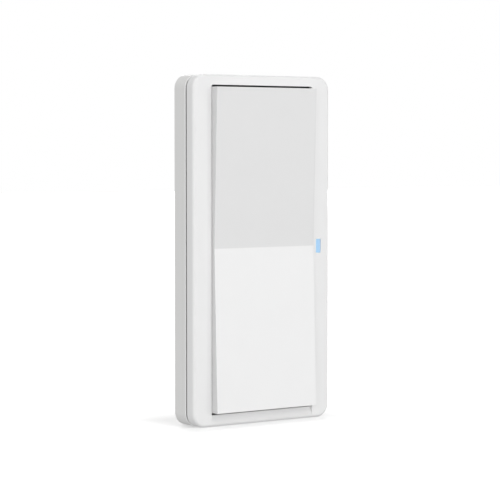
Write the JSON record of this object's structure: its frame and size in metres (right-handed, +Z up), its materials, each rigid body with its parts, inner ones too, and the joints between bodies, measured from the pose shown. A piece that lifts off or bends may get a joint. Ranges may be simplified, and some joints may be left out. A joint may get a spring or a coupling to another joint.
{
  "type": "wireless rocker switch",
  "caption": "Slim wall-mounted wireless switch with a tall rocker, a shallow V front and a small blue status window, on a screw-on or stick-on base.",
  "frame": {"origin": "centre of the wall face, the flat back of the base", "axes": "front faces -Y, +Y points out of the back into the wall, +Z is up, +X is to the right of a person in front"},
  "size_m": [0.0554, 0.0142, 0.115],
  "materials": {
    "base_plastic": "fine satin, white",
    "cover_plastic": "fine satin, grey",
    "white_plastic": "fine satin, white",
    "foam": "closed-cell foam",
    "magnet_nickel": "nickel plated",
    "screw_steel": "zinc plated",
    "plate_steel": "zinc plated",
    "cell_steel": "satin",
    "contact_steel": "nickel plated",
    "board_laminate": "green solder mask",
    "can_steel": "tinned",
    "chip_epoxy": "moulded epoxy",
    "antenna_ceramic": "bare ceramic",
    "capacitor_ceramic": "bare ceramic",
    "gold_plate": "gold plated",
    "led_epoxy": "clear epoxy",
    "clear_plastic": "polished clear",
    "window_plastic": "tinted sky blue, polished",
    "frame_plastic": "black, glass filled",
    "axle_steel": "ground",
    "button_plastic": "dark grey",
    "bumper_rubber": "matt",
    "pin_plastic": "acetal",
    "pill_rubber": "conductive, matt",
    "spring_steel": "drawn wire"
  },
  "bodies": {
    "wall_base": {"wall_base": "base_plastic", "adhesive_pads": "foam", "base_magnets": "magnet_nickel"},
    "module": {"rear_cover": "cover_plastic", "front_bezel": "white_plastic", "case_screws": "screw_steel", "strike_plates": "plate_steel", "coin_cell": "cell_steel", "battery_clip": "contact_steel", "battery_contact": "contact_steel", "main_board": "board_laminate", "radio_shield": "can_steel", "radio_chip": "chip_epoxy", "crystal": "can_steel", "chip_antenna": "antenna_ceramic", "capacitors": "capacitor_ceramic", "resistors": "chip_epoxy", "voltage_regulator": "chip_epoxy", "supply_capacitor": "capacitor_ceramic", "contact_pads": "gold_plate", "status_led": "led_epoxy", "light_pipe": "clear_plastic", "indicator_window": "window_plastic", "pivot_frame": "frame_plastic", "frame_screws": "screw_steel", "pair_switch": "chip_epoxy", "upper_return_spring": "spring_steel", "lower_return_spring": "spring_steel"},
    "rocker": {"rocker_cap": "white_plastic", "rocker_carrier": "frame_plastic", "pivot_axle": "axle_steel", "rocker_bumpers": "bumper_rubber"},
    "upper_pin": {"upper_push_pin": "pin_plastic", "upper_contact_pill": "pill_rubber"},
    "lower_pin": {"lower_push_pin": "pin_plastic", "lower_contact_pill": "pill_rubber"},
    "pair_button": {"pair_button": "button_plastic", "pair_plunger": "button_plastic"},
    "battery_door": {"battery_door": "cover_plastic"}
  },
  "joints": [
    {"name": "module_pull", "type": "slide", "parent": "wall_base", "child": "module", "axis": [0, -1, 0], "range_m": [0, 0.03]},
    {"name": "rocker_rock", "type": "hinge", "parent": "module", "child": "rocker", "pos_m": [0, -0.0096, 0], "axis": [1, 0, 0], "range_deg": [-1.5, 1.5], "stiffness_Nm_per_rad": 3.4},
    {"name": "upper_pin_slide", "type": "slide", "parent": "module", "child": "upper_pin", "axis": [0, 1, 0], "range_m": [-0.00075, 0.00075], "deforming": ["upper_return_spring"]},
    {"name": "lower_pin_slide", "type": "slide", "parent": "module", "child": "lower_pin", "axis": [0, 1, 0], "range_m": [-0.00075, 0.00075], "deforming": ["lower_return_spring"]},
    {"name": "pair_button_press", "type": "slide", "parent": "module", "child": "pair_button", "axis": [0, -1, 0], "range_m": [0, 0.0003], "stiffness_N_per_m": 2000},
    {"name": "battery_door_turn", "type": "hinge", "parent": "module", "child": "battery_door", "pos_m": [0, -0.0022, -0.012], "axis": [0, 1, 0], "range_deg": [0, 60]}
  ],
  "couplings": [
    {"joint": "upper_pin_slide", "follows": "rocker_rock", "m_per_rad": -0.027},
    {"joint": "lower_pin_slide", "follows": "rocker_rock", "m_per_rad": 0.027}
  ]
}
